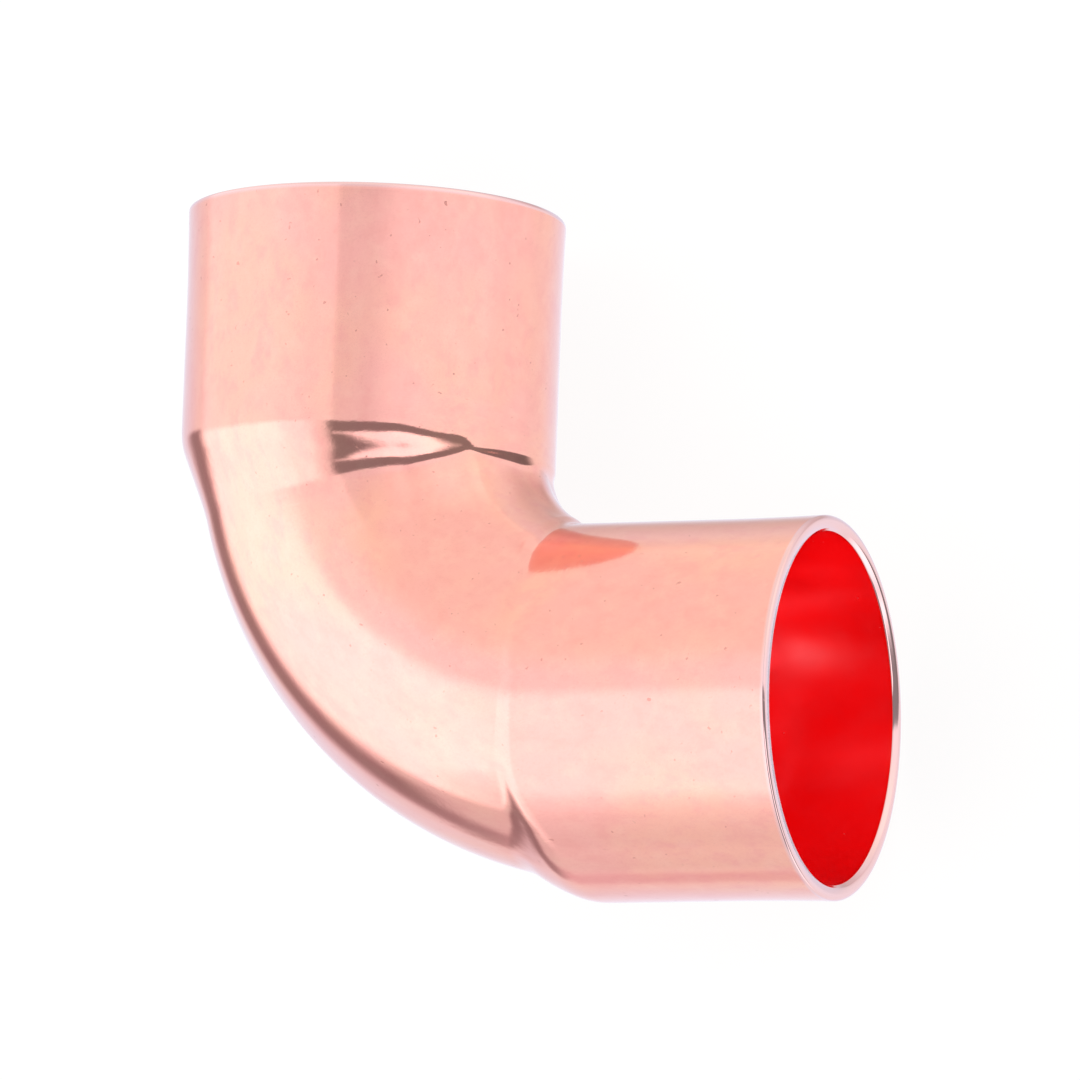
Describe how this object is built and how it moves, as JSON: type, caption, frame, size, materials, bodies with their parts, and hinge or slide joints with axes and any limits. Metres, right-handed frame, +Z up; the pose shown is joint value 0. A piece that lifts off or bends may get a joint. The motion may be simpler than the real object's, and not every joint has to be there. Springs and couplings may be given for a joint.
{
  "type": "pipe elbow",
  "caption": "One-piece wrought copper elbow: a bent tube with a plain solder socket at each end, square to each other, for 22 mm tube.",
  "frame": {"origin": "centre of socket A's mouth, on the socket's axis", "axes": "+X out of socket A along its axis, +Y parallel to socket B's axis and out of its mouth, +Z square to the plane of the bend; the elbow lies flat on its side with +Z up"},
  "size_m": [0.0449, 0.0449, 0.0242],
  "materials": {
    "copper": "bare drawn copper, satin, lightly marked by forming"
  },
  "bodies": {
    "root": {"elbow_body": "copper"}
  },
  "joints": []
}
